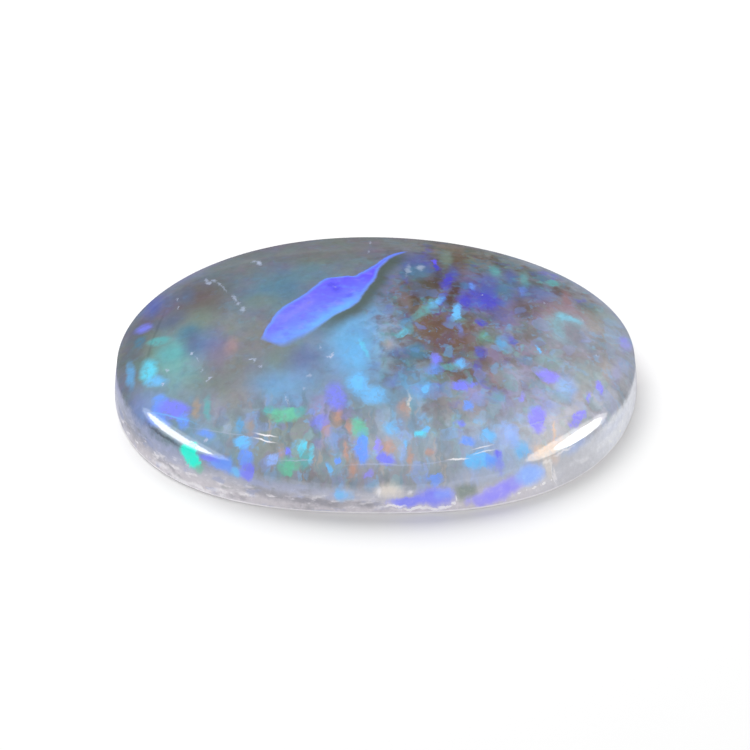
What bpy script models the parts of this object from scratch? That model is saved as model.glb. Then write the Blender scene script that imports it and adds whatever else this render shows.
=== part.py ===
"""Oval black opal cabochon, one solid stone, at its real size in metres.

The stone stands on its flat back in the XY plane, long axis along X, dome up +Z, and the
origin is in the middle of the back. From the back upwards it has a ground bevel, a nearly
upright wall, a crease where the wall meets the shoulder, and a low dome.
"""

import math

import bmesh
import bpy

MM = 0.001

# Driving dimensions of the whole stone
LENGTH = 14.0 * MM
WIDTH = 10.0 * MM
WALL_HEIGHT = 0.98 * MM
SHOULDER_RISE = 0.46 * MM
DOME_RISE = 1.45 * MM
BACK_BEVEL = 0.09 * MM

# The crease ring at the top of the wall: a squareness of 2 is a true ellipse, and the waves
# are what the hand cutting left in it, each with its count around the oval, its height as a
# share of the radius, and the angle of its first crest
CREASE_LENGTH = 13.86 * MM
CREASE_WIDTH = 9.86 * MM
CREASE_SQUARENESS = 2.03
CREASE_WAVES = ((3, 0.003, -13.5), (4, 0.005, -62.0))

# How far the foot of the wall stands out beyond the crease, behind the stone, before it,
# and what its two front corners add
LEAN_BEHIND = 0.096 * MM
LEAN_BEFORE = 0.042 * MM
LEAN_CORNERS = 0.32 * MM

# The wall swells by this much between its foot and the crease
WALL_BELLY = 0.02 * MM

# Where the wall cuts the shoulder's curve, as a share of the curve's radius, and how
# tightly the shoulder turns: the higher, the tighter
CREASE_SHARE = 0.985
SHOULDER_TIGHTNESS = 15.0

# Faces around the stone, up its wall, and from the crease to the top of the dome
AROUND = 96
UP_THE_WALL = 4
OVER_THE_DOME = 17
SMOOTH_BELOW = math.radians(28.0)

OPAL_COLOUR = (0.17, 0.23, 0.30, 1.0)
OPAL_ROUGHNESS = 0.06
OPAL_IOR = 1.45


def fitted(points, length, width):
    """The points centred on the origin and stretched to exactly this length and width."""
    columns = []
    for axis, size in ((0, length), (1, width)):
        values = [point[axis] for point in points]
        low, high = min(values), max(values)
        columns.append([(value - (low + high) / 2) * size / (high - low) for value in values])
    return list(zip(*columns))


def angles():
    """The angle of each point around the stone, from +X towards +Y, which is behind it."""
    return [2 * math.pi * step / AROUND for step in range(AROUND)]


def crease_outline():
    """The hand-cut oval at the top of the wall."""
    points = []
    power = 2 / CREASE_SQUARENESS
    for angle in angles():
        across = math.copysign(abs(math.cos(angle)) ** power, math.cos(angle))
        along = math.copysign(abs(math.sin(angle)) ** power, math.sin(angle))
        swell = 1.0
        for count, height, crest in CREASE_WAVES:
            swell += height * math.cos(count * (angle - math.radians(crest)))
        points.append((across * CREASE_LENGTH * swell, along * CREASE_WIDTH * swell))
    return fitted(points, CREASE_LENGTH, CREASE_WIDTH)


def foot_outline(crease):
    """The larger, squarer oval at the foot of the wall."""
    points = []
    for angle, (x, y) in zip(angles(), crease):
        before = (1 - math.sin(angle)) / 2
        lean = LEAN_BEHIND + (LEAN_BEFORE - LEAN_BEHIND) * before
        lean += LEAN_CORNERS * before * math.sin(2 * angle) ** 2
        share = 1 + lean / math.hypot(x, y)
        points.append((x * share, y * share))
    return fitted(points, LENGTH, WIDTH)


def between(first, second, share):
    """The outline that lies this share of the way from the first to the second."""
    return [
        (ax + (bx - ax) * share, ay + (by - ay) * share)
        for (ax, ay), (bx, by) in zip(first, second)
    ]


def scaled(outline, share):
    """The outline drawn in towards the middle of the stone."""
    return [(x * share, y * share) for x, y in outline]


def grown(outline, amount):
    """The outline moved outwards by an amount, along the line from the origin."""
    moved = []
    for x, y in outline:
        share = 1 + amount / math.hypot(x, y)
        moved.append((x * share, y * share))
    return moved


def dome_height(share):
    """Height above the back where the outline is drawn in to this share of the crease."""
    on_curve = share * CREASE_SHARE

    def curve(s):
        return DOME_RISE * (1 - s * s) + SHOULDER_RISE * math.sqrt(1 - s**SHOULDER_TIGHTNESS)

    return WALL_HEIGHT + curve(on_curve) - curve(CREASE_SHARE)


def rings_of_the_stone():
    """Outlines and heights from the back to near the top of the dome."""
    crease = crease_outline()
    foot = foot_outline(crease)
    rings = [(grown(foot, -BACK_BEVEL), 0.0)]
    for step in range(UP_THE_WALL + 1):
        share = step / UP_THE_WALL
        belly = WALL_BELLY * math.sin(math.pi * share) * (1 - share)
        height = BACK_BEVEL + (WALL_HEIGHT - BACK_BEVEL) * share
        rings.append((grown(between(foot, crease, share), belly), height))
    for step in range(1, OVER_THE_DOME):
        share = math.cos(0.5 * math.pi * step / OVER_THE_DOME)
        rings.append((scaled(crease, share), dome_height(share)))
    return rings


def loft(mesh, rings, top):
    """Joins the rings with faces, closes the back flat and the dome in one top point."""
    loops = [[mesh.verts.new((x, y, height)) for x, y in outline] for outline, height in rings]
    for lower, upper in zip(loops, loops[1:]):
        for step in range(AROUND):
            after = (step + 1) % AROUND
            mesh.faces.new((lower[step], lower[after], upper[after], upper[step]))
    mesh.faces.new(reversed(loops[0]))
    peak = mesh.verts.new(top)
    last = loops[-1]
    for step in range(AROUND):
        mesh.faces.new((last[step], last[(step + 1) % AROUND], peak))


def opal_material():
    """Polished dark body of blue-grey opal."""
    material = bpy.data.materials.new("opal")
    material.use_nodes = True
    shader = material.node_tree.nodes["Principled BSDF"]
    shader.inputs["Base Color"].default_value = OPAL_COLOUR
    shader.inputs["Roughness"].default_value = OPAL_ROUGHNESS
    shader.inputs["Metallic"].default_value = 0.0
    shader.inputs["IOR"].default_value = OPAL_IOR
    return material


def cabochon():
    """The stone as one closed solid."""
    mesh = bmesh.new()
    loft(mesh, rings_of_the_stone(), (0.0, 0.0, dome_height(0.0)))
    data = bpy.data.meshes.new("cabochon")
    mesh.to_mesh(data)
    mesh.free()
    data.materials.append(opal_material())
    data.shade_smooth()
    data.set_sharp_from_angle(angle=SMOOTH_BELOW)
    stone = bpy.data.objects.new("cabochon", data)
    bpy.context.scene.collection.objects.link(stone)
    return stone


def main():
    for old in list(bpy.data.objects):
        bpy.data.objects.remove(old)
    cabochon()


main()
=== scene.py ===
import math

import bpy
import numpy as np
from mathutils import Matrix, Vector


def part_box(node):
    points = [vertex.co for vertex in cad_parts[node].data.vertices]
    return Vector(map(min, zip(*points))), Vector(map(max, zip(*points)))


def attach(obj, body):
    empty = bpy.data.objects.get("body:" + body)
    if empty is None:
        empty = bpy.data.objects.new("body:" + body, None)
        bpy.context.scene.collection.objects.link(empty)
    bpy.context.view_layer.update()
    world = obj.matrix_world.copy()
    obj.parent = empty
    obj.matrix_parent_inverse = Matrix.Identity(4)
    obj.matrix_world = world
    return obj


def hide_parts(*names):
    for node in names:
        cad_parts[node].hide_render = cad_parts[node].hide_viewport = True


MM = 0.001

# Shape of the stone, in millimetres
FOOT_BEVEL = 0.09
WALL_HEIGHT = 0.98
SHOULDER_RISE = 0.46
CREASE_LENGTH = 13.86
CREASE_WIDTH = 9.86
CREASE_SQUARENESS = 2.03
CREASE_WAVES = ((3, 0.003, -13.5), (4, 0.005, -62.0))
LEAN_BEHIND = 0.096
LEAN_BEFORE = 0.042
LEAN_CORNERS = 0.32
WALL_BELLY = 0.02
CREASE_SHARE = 0.985
SHOULDER_TIGHTNESS = 15.0

# How finely the stone is made: points around it, rings of the bevel as shares of its quarter
# turn, rings up the wall and over the dome, and how much closer the dome's stand at the shoulder
AROUND = 560
BEVEL_SHARES = (0.0, 0.3, 0.6, 0.8, 0.93)
UP_THE_WALL = 34
OVER_THE_DOME = 110
DOME_SPREAD = 1.15
SMOOTH_BELOW = math.radians(30)

# Where the camera stands, in degrees and millimetres, and how much of the floor it sees across
VIEW_ELEVATION = 42.08
VIEW_DISTANCE = 220.0
PICTURE_WIDTH = 750 / 37.26
AIM_RIGHT = -0.025
AIM_UP = 0.341
SENSOR = 36.0
NEAREST = 10.0
FARTHEST = 5000.0

# Light that reaches the top and the wall of the stone, the glare that lies over its colour, and
# the darkest and lightest paint
LIGHT_ON_TOP = 1.06
LIGHT_ON_WALL = 1.02
GLARE = 0.042
DARKEST_PAINT = 0.004
LIGHTEST_PAINT = 0.97

# The share of the stone's look that is polish, and how rough the polish is: the wall is satin
POLISH = 0.045
ROUGHNESS = 0.05
WALL_SATIN = 0.2
GRAIN_SATIN = 0.04

# Painted light: the paint is lighter towards the front, for each millimetre, where less light
# falls on it, a little lighter towards the right and darker towards the back
PAINT_LIGHT = 1.2
PAINT_DARKER_BACK = 0.078
PAINT_LIGHTER_RIGHT = 0.008

# Surroundings and floor: brightness, whiteness, and half the floor's width in millimetres
SURROUNDINGS = 0.6
FLOOR_WHITE = 0.9
FLOOR_HALF = 500.0
PURE_WHITE = (1.0, 1.0, 1.0, 1.0)

# The studio's lights: name, azimuth from behind towards the right and elevation in degrees,
# distance, width and height in millimetres, radiance, colour. The strips show on the shoulder
STRIPS = (
    ("left_light", -105, 32, 120, 108, 48, 3.0, (0.86, 0.93, 1.0)),
    ("left_core", -104, 32, 120, 84, 26, 11.0, (1.0, 0.95, 0.97)),
    ("right_light", 107, 24, 120, 98, 76, 5.0, (1.0, 0.95, 0.9)),
    ("right_core", 102.5, 24, 120, 59, 44, 15.0, (1.0, 0.99, 0.97)),
)
BACK_LIGHT = ("back_light", -24, 52, 200, 180, 130, 4.5, (1.0, 1.0, 1.0))

# Colours of the opal as they look in daylight, red, green and blue from 0 to 255
INK = (74, 76, 84)
GREY = (112, 115, 120)
SLATE = (100, 111, 134)
STEEL = (88, 125, 148)
DUSK = (93, 104, 168)
MOSS = (122, 136, 128)
OLIVE = (90, 101, 96)
UMBER = (91, 75, 66)
BROWN = (112, 94, 84)
TAN = (162, 146, 132)
SALMON = (190, 150, 134)
ROSE = (146, 112, 116)
MAUVE = (128, 115, 142)
LILAC = (146, 140, 192)
INDIGO = (84, 82, 196)
VIOLET = (110, 98, 253)
PERIWINKLE = (128, 134, 246)
BLUE_VIOLET = (120, 132, 252)
AZURE = (114, 156, 250)
SKY = (114, 188, 247)
CYAN = (106, 206, 234)
MIST = (106, 164, 212)
TEAL = (104, 168, 172)
SEA = (112, 188, 160)
PALE = (172, 182, 206)
CREAM = (222, 214, 204)
WHITE = (238, 236, 240)
GREEN_FIRE = (66, 236, 212)
LIGHT_VIOLET = (150, 144, 252)
LIGHT_AZURE = (150, 184, 252)
PEACH = (232, 200, 172)
MILK = (198, 194, 200)
MILKY_GLOW = (200, 208, 222)
WALL_TOP = (164, 168, 180)
WALL_BLUE = (150, 160, 194)
WALL_SHADE = (128, 128, 138)
WALL_GLOW_PALE = (222, 224, 230)

# What each patch of colour is given, to how many degrees its turn is rounded, and how its rim
# follows from its softness
PATCH_SOCKETS = (
    ("Under", "Color"), ("Place", "Vector"), ("Reach", "Vector"), ("Centre", "Vector"),
    ("Rim", "Float"), ("Strength", "Float"), ("Wear", "Float"), ("Colour", "Color"),
)
TURN_STEP = 5
RIM_SHARE = 0.9
NARROWEST_RIM = 0.1
WIDEST_RIM = 0.95

# How strong the finer waves are in the noise that pushes, and in that of the smudges
PUSH_ROUGHNESS = 0.6
CLOUD_ROUGHNESS = 0.55

# Noise that pushes about what is drawn on the stone, so that its edges become uneven: waves per
# millimetre, reach of the push along each axis, and how many times finer waves are added
SHAKEN = (2.6, (0.34, 0.34, 0.0), 3.0)
CLOUDY = (1.1, (0.7, 0.7, 0.0), 2.0)
DRIFTING = (2.8, (0.26, 0.26, 0.0), 5.0)
SMOOTH = (3.0, (0.1, 0.1, 0.0), 4.0)
COMBED = (1.0, (0.26, 0.2, 0.0), 4.0)
NICKED = (13.0, (0.2, 0.2, 0.0), 2.0)
ROLLED = (3.0, (5.0, 0.3, 0.0), 5.0)

# Grains that break up the crisp flashes: grains per millimetre, and how far edges are drawn
TORN = (5.0, 0.3)

# Noise of the smudges: waves per millimetre and how many times finer waves are added, and of the
# other noises also how strong the finer waves are
DARK_NOISE = (1.7, 3.0)
FINE_NOISE = (3.4, 3.0)
PALE_NOISE = (4.2, 3.0)
STREAK_NOISE = (1.0, 4.0)
TONGUE_NOISE = (2.4, 5.0)
WALL_NOISE = (1.6, 5.0)
CRUST_NOISE = (2.7, 5.0)
TINT_NOISE = (1.2, 4.0, 0.6)
WEAR_NOISE = (6.0, 4.0, 0.65)
POTCH_NOISE = (3.5, 5.0, 0.65)
GRAIN_NOISE = (5.0, 6.0, 0.7)

# Cells of the grains: cells per millimetre and how soft their borders are
GRAIN_CELLS = (2.5, 0.9)

# How noise is drawn out: streaks in front, flashes at the left end, layers of the wall
STREAK_DRAW = (3.2, 0.9, 0.0)
COMB_DRAW = (1.0, 4.5, 0.0)
WALL_LAYERS = (1.0, 1.0, 2.4)

# Shares of the grain and of the tint in the colour, and between which levels of noise the
# flashes are worn thin
GRAIN_SHARE = 0.4
TINT_SHARE = 0.1
WORN = (0.3, 0.56)

# The least and the most that shows of what comes in parts of the stone: dark, fine and pale
# smudges, streaks, the calm left corner in front, worn flashes, and the older side of the wall
DARK_SHARE = (0.12, 1.02)
FINE_SHARE = (0.15, 0.9)
PALE_SHARE = (0.1, 0.7)
STREAK_SHARE = (0.0, 0.9)
SPECKLED_SHARE = (0.0, 0.7)
CALM_SHARE = (0.3, 1.0)
WORN_SHARE = (0.5, 1.0)
OLDER_SHARE = (0.1, 0.88)

# Parts of the dome, in millimetres: the mottled right half with its place, half length, half
# width and softness, and the others with where their edge starts and where it ends
MOTTLED_PART = (3.6, 0.2, 3.6, 5.0, 0.32)
FRONT_START = (-2.3, -3.5)
FRONT_SLANT = 0.06
CALM_CORNER = (-4.4, -2.0)
QUIET_BACK = (4.4, 2.2)
SPECKLED_FRONT = (2.6, -0.2)

# Heights on the wall and where across the stone it looks older, likewise, in millimetres
MILK_RISE = (0.95, 0.2)
CRUST_RISE = (0.85, 0.25)
OLDER_LEFT = (3.2, -3.6)
POTCH_REACH = 0.5
POTCH_BORDER = (0.95, 1.27)
# Heights of painted light at the foot: a white rim painted on the bevel, which faces down into
# shade
BRIGHT_FOOT_RIM = (0.13, 0.05)

# Soft smudges and grains that are scattered over the stone: three colours each, with the
# level of the noise where the colour begins, how softly it does, and its strength
DARK_SMUDGES = ((UMBER, 0.46, 0.26, 0.8), (INDIGO, 0.53, 0.22, 0.6), (OLIVE, 0.45, 0.24, 0.7))
FINE_SMUDGES = ((BROWN, 0.53, 0.15, 0.6), (STEEL, 0.53, 0.15, 0.7), (TEAL, 0.58, 0.15, 0.6))
PALE_SMUDGES = ((MAUVE, 0.55, 0.1, 0.6), (MIST, 0.57, 0.1, 0.7), (MOSS, 0.55, 0.12, 0.7))
FRONT_STREAKS = ((OLIVE, 0.5, 0.14, 0.7), (TAN, 0.58, 0.1, 0.7), (STEEL, 0.55, 0.12, 0.6))
GRAINS = ((AZURE, 0.66, 0.2, 0.38), (TEAL, 0.62, 0.2, 0.42), (BROWN, 0.56, 0.22, 0.6))
TONGUE_SMUDGES = ((LILAC, 0.5, 0.2, 0.5), (VIOLET, 0.5, 0.16, 0.5), (AZURE, 0.54, 0.16, 0.4))
WALL_SMUDGES = (
    (WALL_SHADE, 0.52, 0.18, 0.45), (WALL_BLUE, 0.54, 0.12, 0.55), (MOSS, 0.6, 0.12, 0.4),
)
WALL_CRUST = ((WHITE, 0.54, 0.16, 0.8), (WALL_SHADE, 0.55, 0.18, 0.4), (MILK, 0.53, 0.16, 0.6))

# Wide, soft changes of the body colour over the dome, with a painted halo beside the right
# highlight and a painted reflection along the back edge, seen from above in millimetres: colour,
# place across and along, half length, half width, turn in degrees, softness, strength
BODY_ZONES = (
    (SLATE, -4.6, 2.6, 2.4, 1.5, 35, 1.0, 0.7),
    (LILAC, -4.9, 3.55, 1.5, 0.35, 34, 1.0, 0.45),
    (GREY, -0.8, 3.4, 2.6, 1.2, 0, 1.0, 0.9),
    (STEEL, -2.7, 1.5, 1.3, 0.9, 30, 1.0, 0.75),
    (STEEL, -1.6, 2.0, 1.2, 0.6, 20, 1.0, 0.5),
    (MOSS, -5.0, -0.9, 1.3, 1.6, 0, 1.0, 0.7),
    (TEAL, -5.2, -0.9, 0.8, 1.0, 0, 1.0, 0.8),
    (MAUVE, -4.0, -0.9, 0.8, 1.0, 0, 1.0, 0.4),
    (GREY, -3.6, -2.2, 1.2, 1.2, 0, 1.0, 0.7),
    (MIST, -0.7, -1.1, 1.0, 1.5, 0, 1.0, 0.9),
    (MIST, -2.3, -2.3, 0.9, 0.8, 0, 1.0, 0.5),
    # Painted highlight: a soft peach halo beside the right highlight
    (PEACH, 4.7, -3.2, 0.9, 0.35, 30, 1.0, 0.45),
    (SLATE, -2.0, -1.5, 0.9, 0.6, 0, 1.0, 0.5),
    (DUSK, 0.4, 1.1, 0.7, 1.6, -5, 1.0, 0.55),
    (MIST, 0.2, -0.3, 0.7, 0.9, 0, 1.0, 0.6),
    (BROWN, 1.8, -0.4, 1.1, 1.5, 10, 0.8, 0.95),
    (UMBER, 1.9, -0.1, 0.7, 0.8, 0, 1.0, 0.5),
    (BROWN, 2.1, 2.6, 0.8, 1.6, 0, 1.0, 0.9),
    (UMBER, 2.2, 1.2, 0.4, 0.7, 0, 1.0, 0.5),
    (BROWN, 1.0, 1.0, 0.6, 0.6, 0, 1.0, 0.6),
    (DUSK, 3.0, 1.3, 1.2, 1.0, 0, 0.8, 0.85),
    (BROWN, 4.9, 1.0, 1.4, 1.1, 0, 1.0, 0.7),
    (BROWN, 4.0, -0.5, 1.7, 0.8, 0, 1.0, 0.6),
    (DUSK, 2.9, 1.4, 1.0, 0.8, 0, 1.0, 0.8),
    (STEEL, 4.1, 1.8, 0.8, 0.35, 0, 1.0, 0.6),
    (OLIVE, 6.3, 1.0, 0.6, 0.6, 0, 1.0, 0.6),
    (INK, -6.4, 0.6, 0.7, 1.7, -8, 1.0, 0.6),
    (INK, -4.6, 1.6, 0.9, 0.7, 20, 1.0, 0.35),
    (DUSK, -5.95, 1.8, 0.4, 0.5, 0, 1.0, 0.6),
    (MIST, -4.5, -3.2, 1.1, 0.7, -25, 1.0, 0.6),
    (MIST, 0.9, -2.9, 1.1, 0.8, 0, 1.0, 0.55),
    (SKY, 3.1, -3.8, 1.2, 0.6, 20, 1.0, 0.4),
    (PALE, 4.6, -3.4, 1.0, 0.6, 30, 1.0, 0.6),
    (UMBER, 1.5, 1.6, 0.6, 0.7, 0, 1.0, 0.5),
    (OLIVE, 4.1, 0.2, 0.9, 0.7, 0, 1.0, 0.5),
    (MOSS, 3.1, 2.8, 1.0, 0.7, 0, 1.0, 0.5),
    (DUSK, 3.0, 1.1, 0.8, 1.1, 0, 1.0, 0.6),
    (SLATE, 4.3, 1.8, 1.2, 0.8, 0, 1.0, 0.6),
    (MAUVE, 4.4, 0.3, 1.6, 1.1, 0, 1.0, 0.6),
    (MAUVE, 3.4, -1.2, 1.4, 1.0, 0, 1.0, 0.7),
    (MOSS, 5.9, 0.8, 0.8, 0.9, 0, 1.0, 0.6),
    (MOSS, 5.2, -1.3, 1.0, 0.8, 0, 1.0, 0.5),
    (MAUVE, 5.6, -0.5, 0.7, 0.6, 0, 1.0, 0.5),
    (LILAC, 4.4, -2.4, 1.3, 0.9, 0, 1.0, 0.4),
    (TAN, 2.0, -3.1, 1.2, 0.7, 0, 1.0, 0.4),
    (MOSS, 1.7, -3.9, 1.1, 0.6, 0, 1.0, 0.5),
    (MILK, 5.9, -2.0, 0.8, 1.2, -25, 1.0, 0.5),
    (STEEL, 0.7, -2.2, 0.9, 1.0, 0, 1.0, 0.5),
    (SLATE, -1.5, -3.0, 0.8, 0.8, 0, 1.0, 0.5),
    (TAN, -0.3, -3.8, 1.5, 0.6, 0, 1.0, 0.35),
    (MOSS, -2.6, -3.8, 1.4, 0.5, 0, 1.0, 0.5),
    (TAN, -3.8, -2.7, 0.8, 0.5, 0, 1.0, 0.4),
    (SLATE, -6.7, -1.6, 0.4, 1.0, 8, 1.0, 0.75),
    (AZURE, -6.2, -2.2, 0.5, 0.6, -30, 1.0, 0.35),
    # Painted reflection: a faintly darker band along the back edge, mirroring the dark room
    # behind
    (INK, -1.2, 3.7, 3.6, 1.1, 0, 1.0, 0.24),
    (BROWN, 1.6, 1.6, 0.8, 0.9, 0, 1.0, 0.6),
    (OLIVE, 2.9, 2.7, 1.0, 0.7, 0, 1.0, 0.45),
    (PALE, 0.6, -0.9, 0.7, 0.7, 0, 1.0, 0.35),
)

# Patches of play of colour with soft edges, in the same order of values
CLOUDS = (
    (DUSK, -6.0, 1.85, 0.2, 0.5, 0, 0.9, 0.8),
    (SLATE, -5.45, 0.75, 0.4, 0.3, 0, 0.8, 0.8),
    (BROWN, -4.6, 1.5, 0.55, 0.8, 5, 0.9, 0.55),
    (SLATE, -5.1, 1.8, 0.2, 0.35, 0, 0.9, 0.8),
    (MOSS, -4.7, 0.45, 0.4, 0.45, 0, 0.9, 0.8),
    (TEAL, -5.45, -0.55, 0.4, 0.35, 0, 0.8, 0.8),
    (STEEL, -5.0, 0.1, 0.3, 0.3, 0, 0.8, 0.8),
    (SLATE, -4.9, -0.35, 0.25, 0.4, 0, 0.8, 0.7),
    (DUSK, -4.5, -0.5, 0.4, 0.45, 0, 0.9, 0.5),
    (MAUVE, -4.2, -0.9, 0.3, 0.5, 0, 0.9, 0.5),
    (SALMON, -3.83, -0.73, 0.15, 0.25, 0, 0.9, 0.3),
    (STEEL, -2.4, 1.35, 0.5, 0.55, 0, 0.9, 0.6),
    (MOSS, -3.1, 0.9, 0.35, 0.3, 0, 0.9, 0.6),
    (MOSS, -2.45, -1.4, 0.4, 0.4, 0, 0.9, 0.7),
    (DUSK, -2.0, -1.5, 0.4, 0.35, 0, 0.9, 0.4),
    (MIST, -2.5, -2.4, 0.7, 0.5, 0, 0.9, 0.5),
    (MIST, -0.55, -1.0, 0.5, 0.8, -10, 0.8, 0.6),
    (SKY, -0.5, -1.5, 0.4, 0.5, 0, 1.0, 0.35),
    (DUSK, 1.1, 2.5, 0.45, 0.6, 0, 0.8, 0.7),
    (STEEL, 1.1, 2.0, 0.4, 0.4, 0, 0.6, 0.7),
    (MOSS, 1.9, 2.9, 0.15, 0.5, 0, 0.8, 0.8),
    (DUSK, 2.1, 2.1, 0.15, 0.35, 0, 0.8, 0.7),
    (INK, 1.65, 1.5, 0.14, 0.4, 0, 0.8, 0.5),
    (OLIVE, 1.2, 1.1, 0.35, 0.35, 0, 0.9, 0.8),
    (BROWN, 2.25, 2.95, 0.18, 0.8, 5, 0.7, 0.7),
    (MAUVE, 2.5, 2.15, 0.2, 0.35, 0, 0.9, 0.5),
    (INDIGO, 3.0, 1.15, 0.7, 0.6, 0, 0.9, 0.4),
    (UMBER, 1.5, 1.45, 0.3, 0.3, 0, 0.8, 0.6),
    (INK, 1.75, 2.0, 0.22, 0.4, 0, 0.8, 0.5),
    (DUSK, 3.0, 1.5, 0.28, 0.5, 0, 0.7, 0.8),
    (STEEL, 3.45, 1.45, 0.22, 0.45, 0, 0.7, 0.8),
    (DUSK, 3.62, 2.3, 0.15, 0.35, 0, 0.7, 0.6),
    (TEAL, 3.2, 2.5, 0.15, 0.3, 0, 0.7, 0.6),
    (TEAL, 4.0, 2.2, 0.12, 0.4, 0, 0.8, 0.6),
    (STEEL, 4.45, 2.6, 0.22, 0.2, 0, 0.8, 0.6),
    (DUSK, 4.3, 1.6, 0.5, 0.35, 0, 0.7, 0.5),
    (BROWN, 4.2, 0.9, 0.45, 0.3, 0, 0.9, 0.6),
    (DUSK, 4.6, 1.2, 0.3, 0.2, 0, 0.8, 0.3),
    (ROSE, 5.15, 1.6, 0.13, 0.45, 5, 0.7, 0.8),
    (ROSE, 5.05, 0.75, 0.6, 0.7, 0, 0.5, 0.75),
    (UMBER, 3.95, 0.75, 0.3, 0.35, 0, 0.7, 0.7),
    (TAN, 5.9, 0.8, 0.3, 0.4, 0, 0.9, 0.5),
    (MOSS, 6.2, 1.4, 0.3, 0.4, 0, 0.8, 0.7),
    (TAN, 6.25, 0.35, 0.15, 0.3, 0, 0.8, 0.4),
    (MAUVE, 3.5, 0.3, 0.25, 0.4, 0, 0.8, 0.8),
    (BROWN, 1.9, -0.8, 0.7, 0.65, 0, 0.5, 0.8),
    (BROWN, 1.3, -0.3, 0.35, 0.5, 0, 0.7, 0.6),
    (STEEL, 1.1, -1.3, 0.3, 0.25, 0, 0.7, 0.9),
    (MAUVE, 3.15, -1.2, 0.2, 0.25, 0, 0.7, 0.9),
    (ROSE, 3.2, -1.9, 0.22, 0.3, 0, 0.7, 0.7),
    (PALE, 3.65, -1.8, 0.22, 0.3, 0, 0.8, 0.35),
    (STEEL, 0.8, -2.1, 0.25, 0.5, 0, 0.7, 0.7),
    (AZURE, 5.1, -1.8, 0.25, 0.35, 0, 0.8, 0.6),
    (TEAL, 4.6, -1.1, 0.3, 0.2, 0, 0.8, 0.5),
    (MOSS, 5.5, -1.3, 0.3, 0.4, 0, 0.8, 0.8),
    (TAN, 6.1, -0.95, 0.2, 0.45, 0, 0.7, 0.7),
    (LILAC, 6.4, -0.95, 0.1, 0.4, -10, 0.7, 0.7),
    (BROWN, 5.3, -0.7, 0.35, 0.2, 0, 0.9, 0.5),
    (STEEL, 5.15, -0.2, 0.2, 0.22, 0, 0.7, 0.6),
    (BROWN, 1.7, -2.9, 0.3, 0.3, 0, 0.8, 0.6),
    (BROWN, 2.2, -2.1, 0.35, 0.12, 0, 0.7, 0.7),
    (LILAC, 2.6, -2.55, 0.28, 0.25, 0, 0.6, 0.7),
    (TAN, 2.7, -3.2, 0.25, 0.2, 0, 0.8, 0.6),
    (TAN, 5.4, -2.0, 0.12, 0.4, -20, 0.8, 0.5),
    (LILAC, -1.4, -3.1, 0.3, 0.45, 0, 0.7, 0.7),
    (STEEL, -1.4, -4.3, 0.14, 0.35, 0, 0.7, 0.7),
    (STEEL, -1.0, -3.95, 0.18, 0.22, 0, 0.7, 0.6),
    (STEEL, 1.05, -3.5, 0.14, 0.3, 0, 0.7, 0.6),
    (OLIVE, -0.55, -2.9, 0.2, 0.3, 0, 0.8, 0.4),
    (MOSS, -2.3, -3.55, 0.45, 0.2, 0, 0.8, 0.6),
    (MOSS, -4.0, -3.2, 0.4, 0.3, 0, 0.9, 0.5),
    (DUSK, 0.8, -0.15, 0.2, 0.2, 0, 0.8, 0.7),
    (DUSK, 0.6, -1.4, 0.22, 0.15, 0, 0.8, 0.5),
    (TAN, 0.3, -1.1, 0.14, 0.14, 0, 0.8, 0.6),
    (BROWN, 0.5, -1.85, 0.2, 0.15, 0, 0.8, 0.5),
    (BROWN, 1.55, -3.25, 0.22, 0.4, 0, 0.8, 0.5),
    (OLIVE, 1.9, -3.75, 0.25, 0.4, 0, 0.8, 0.5),
    (BROWN, 1.45, -4.2, 0.14, 0.15, 0, 0.8, 0.5),
    (OLIVE, 1.05, -4.6, 0.4, 0.14, 0, 0.8, 0.5),
    (MOSS, 2.15, -4.0, 0.15, 0.3, 0, 0.8, 0.5),
    (MIST, 1.05, -2.4, 0.36, 0.34, 0, 0.8, 0.6),
    (TEAL, 0.85, -3.15, 0.14, 0.3, 0, 0.8, 0.5),
    (LILAC, 3.5, -2.65, 0.32, 0.26, 0, 0.8, 0.4),
    (SKY, 5.0, -1.9, 0.22, 0.3, 0, 0.8, 0.45),
    (MAUVE, 2.6, -2.9, 0.3, 0.3, 0, 0.8, 0.4),
    (BROWN, 2.45, -1.9, 0.4, 0.14, 0, 0.8, 0.5),
    (OLIVE, 4.2, -0.2, 0.4, 0.3, 0, 0.9, 0.5),
)
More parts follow.
